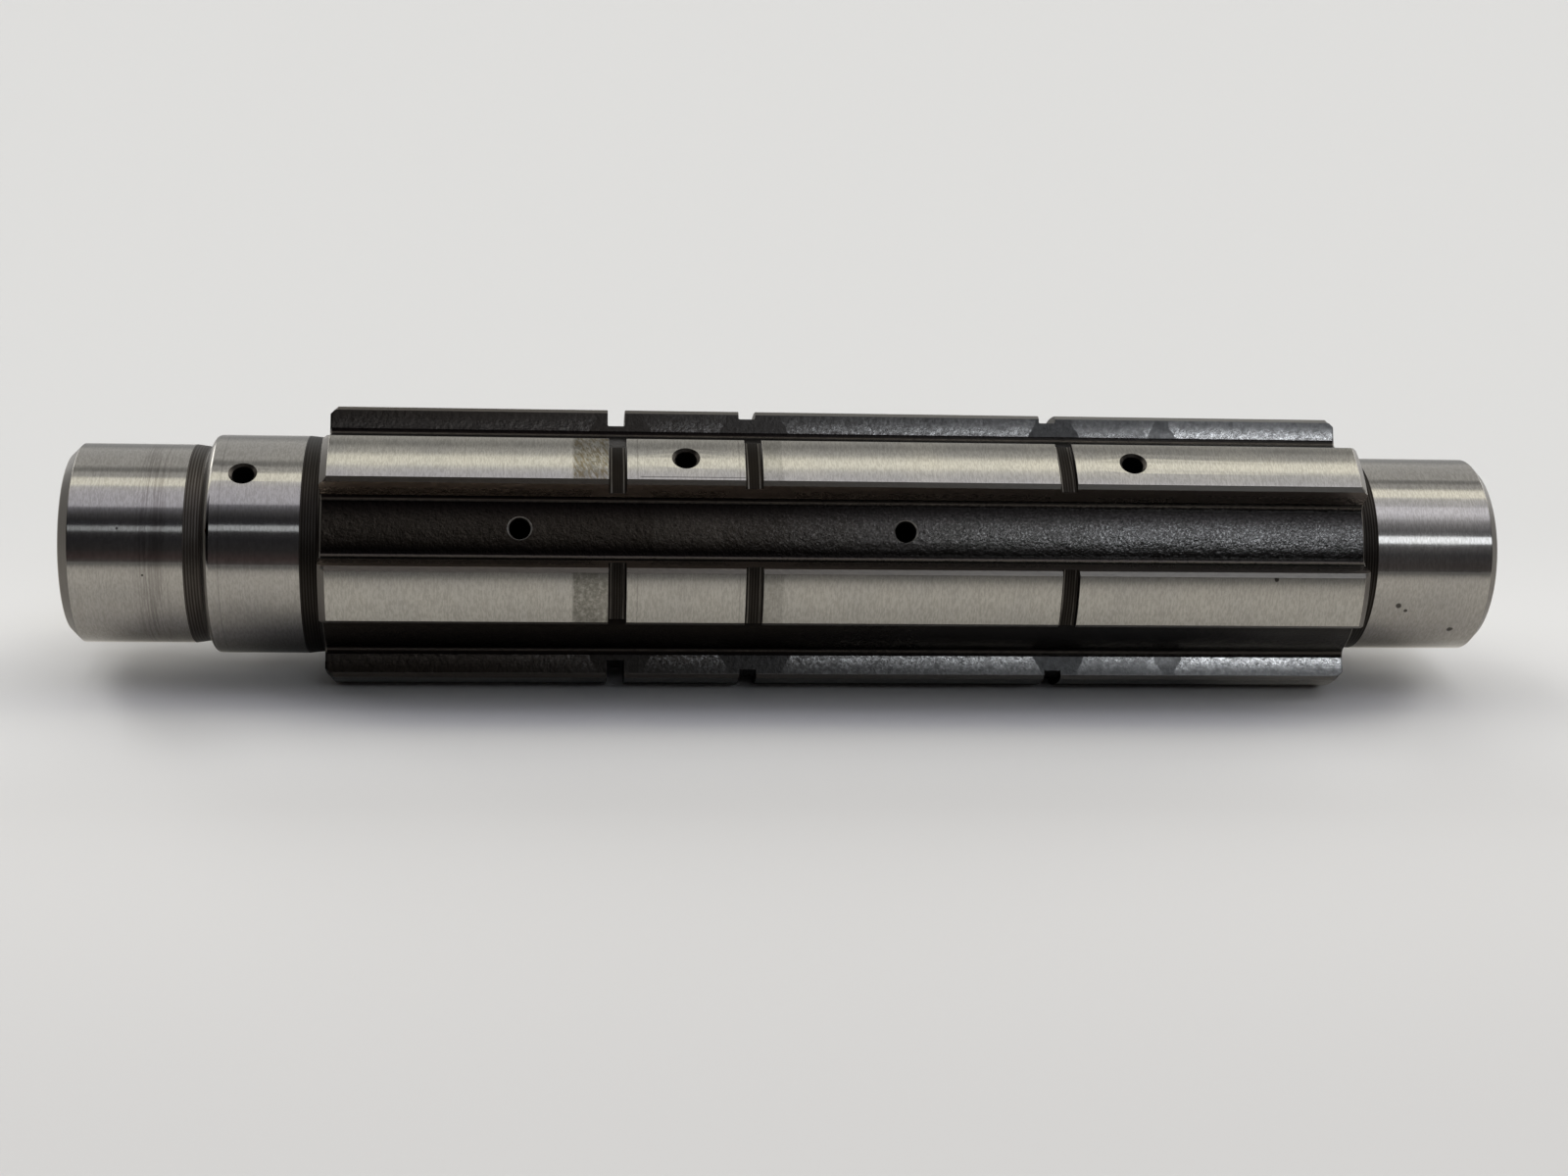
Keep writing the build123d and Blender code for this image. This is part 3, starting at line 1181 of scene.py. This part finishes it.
left_tube = (0.95, 1.01, 1.08)
right_tube = (2.55, 2.7, 2.9)
tube_glow = (0.35, 0.36, 0.38)
front_lamp = (1.5, 1.5, 1.64)
backdrop = (0.745, 0.74, 0.72)
left_gap = (0.4, 0.4, 0.39)
right_gap = (0.42, 0.42, 0.41)
far_back = (0.42, 0.42, 0.415)
dim_front = (0.14, 0.14, 0.14)
above = (1.1, 1.1, 1.1)
left_bands = [
    (-94, dim_front), (-86, (0.1, 0.075, 0.075)), (-76, (0.05, 0.048, 0.05)),
    (-64, (0.04, 0.04, 0.045)), (-56, (0.07, 0.07, 0.075)), (-55, left_tube), (-50.5, left_tube),
    (-49.5, (0.05, 0.05, 0.06)), (-42, (0.055, 0.055, 0.06)), (-36, (0.12, 0.12, 0.13)),
    (-30, (0.28, 0.28, 0.32)), (-26, (0.93, 0.93, 1.04)), (-8, (1.0, 0.99, 1.08)), (-1, above),
    (1, (1.72, 1.7, 1.52)), (10, (1.67, 1.65, 1.48)), (13, backdrop), (19, backdrop),
    (22, left_gap), (26, left_gap), (30, backdrop), (66, backdrop), (80, far_back), (90, far_back),
]
right_bands = [
    (-94, dim_front), (-86, (0.1, 0.09, 0.09)), (-70, (0.09, 0.09, 0.095)),
    (-61, (0.2, 0.2, 0.21)), (-57.3, tube_glow), (-56.3, right_tube), (-49, right_tube),
    (-48, tube_glow), (-42, (0.24, 0.24, 0.26)), (-34, (0.45, 0.45, 0.48)),
    (-27, (0.94, 0.94, 1.02)), (-20, front_lamp), (-13, front_lamp), (-8, (1.0, 1.0, 1.05)),
    (1, above), (3, (1.95, 1.92, 1.72)), (13, (1.9, 1.87, 1.67)), (16, backdrop), (23, backdrop),
    (25, right_gap), (29, right_gap), (32, backdrop), (66, backdrop), (80, far_back), (90, far_back),
]
toward_right = air.ramp(way_x, -0.1, 0.35)
sky = air.colour(toward_right, bands(left_bands), bands(right_bands))
print("bands", len(left_bands), len(right_bands))

# %% How strongly each direction shines
# The lamps in front are short, so toward the sides the front of the room is dim
side_dimming = 0.85
dim = air.ramp(aside, 0.3, 0.48, 0.0, side_dimming)
in_front = air.ramp(lean, -22, -10, 1.0, 0.0)

# Two soft boxes far out behind, at the left and right, light the floor under the shaft
box_strength = 4.0
far_out = air.ramp(aside, 0.42, 0.55, 0.0, box_strength)
box_edge = air.ramp(aside, 0.7, 0.8, 1.0, 0.0)
behind = air.ramp(lean, 5, 30)

# The tube light in front ends before the left journal
tube_lean = -52.8
past_tube = air.ramp(way_x, -0.18, -0.125, 0.4, 0.0)
on_tube = air.ramp(abs(lean - tube_lean), 3.0, 4.0, 1.0, 0.0)
strength = 1 - dim * in_front + far_out * box_edge * behind - past_tube * on_tube
air.tell("strength")

# %% The lit world, and the plain backdrop that the camera sees
seen_backdrop = (0.672, 0.666, 0.651)
to_camera = air.node("ShaderNodeLightPath", output="Is Camera Ray")
light = air.node("ShaderNodeBackground", {
    "Color": air.colour(to_camera, sky, seen_backdrop),
    "Strength": strength * (1 - to_camera) + to_camera,
})
air.node("ShaderNodeOutputWorld", {"Surface": light})
air.tell("studio")

# %% [markdown]
# ## The floor
#
# The shaft lies on a pale surface whose tone changes from the front to the back: it is painted
# lighter close to the shaft, where the shaft's shadow falls, and darker far in front and far behind,
# painted light and shade. It could be a curved sweep, but the camera never sees where it ends, so one
# flat sheet at the level of the lowest teeth is enough. It is matt and keeps the contact shadow. The
# steel mirrors it in tones of its own, a painted reflection: pale around the shaft, with painted shade
# right under it and toward the dim front of the room.

# %% A flat sheet under the lowest teeth
floor_level = -26.43 * MM
floor_mesh = bpy.data.meshes.new("floor")
floor_side = 3.0
floor_front = -1.5
floor_mesh.from_pydata(
    [
        (-floor_side, floor_front, floor_level), (floor_side, floor_front, floor_level),
        (floor_side, floor_side, floor_level), (-floor_side, floor_side, floor_level),
    ],
    [], [(0, 1, 2, 3)],
)
floor = add_object("floor", floor_mesh)
print("floor at", round(floor_level / MM, 2))

# %% The floor as the camera sees it
floor_look = bpy.data.materials.new("floor")
paper = Tree(empty_tree(floor_look))
floor_x, floor_y, _ = paper.node("ShaderNodeTexCoord", output="Object").parts()


def backward(start, end, nearer, farther):
    """One tone up to a distance behind the axis, in metres, and another past it."""
    return paper.colour(paper.ramp(floor_y, start, end), nearer, farther)


# Painted light and shade: the floor is painted lighter close to the shaft, most of all beside the
# splines, and darker far in front and far behind.
far = backward(0.0, 0.1, (0.81, 0.805, 0.8), (0.752, 0.75, 0.745))
past_journals = paper.ramp(abs(floor_x), 0.1, 0.13)
beside_shaft = paper.colour(past_journals, (0.96, 0.955, 0.95), (0.85, 0.845, 0.84))
near = backward(-0.18, -0.06, (0.69, 0.682, 0.678), (0.775, 0.767, 0.76))
seen = backward(-0.03, -0.005, beside_shaft, far)
seen = backward(-0.068, -0.034, near, seen)
paper.tell("floor for the camera")

# %% The floor as the steel mirrors it
# Painted reflection: the steel sees this tone instead of the lit floor, with painted shade right under
# the splines and far to the front and to the back.
pale_floor = (0.84, 0.82, 0.78)
mirrored = backward(0.1, 0.4, pale_floor, (0.43, 0.43, 0.43))
beside_splines = paper.ramp(abs(floor_x + 0.01), 0.09, 0.115)
under = paper.colour(beside_splines, (0.33, 0.33, 0.33), (0.93, 0.9, 0.85))
mirrored = backward(0.02, 0.06, under, mirrored)
mirrored = backward(-0.05, -0.015, pale_floor, mirrored)
mirrored = backward(-0.45, -0.08, (0.26, 0.26, 0.26), mirrored)
paper.tell("floor in the steel")

# %% Finish the floor
to_camera = paper.node("ShaderNodeLightPath", output="Is Camera Ray")
shade = paper.colour(to_camera, mirrored, seen)
matte = paper.node("ShaderNodeBsdfDiffuse", {"Color": shade})
paper.node("ShaderNodeOutputMaterial", {"Surface": matte})
floor_mesh.materials.append(floor_look)
paper.tell("floor")
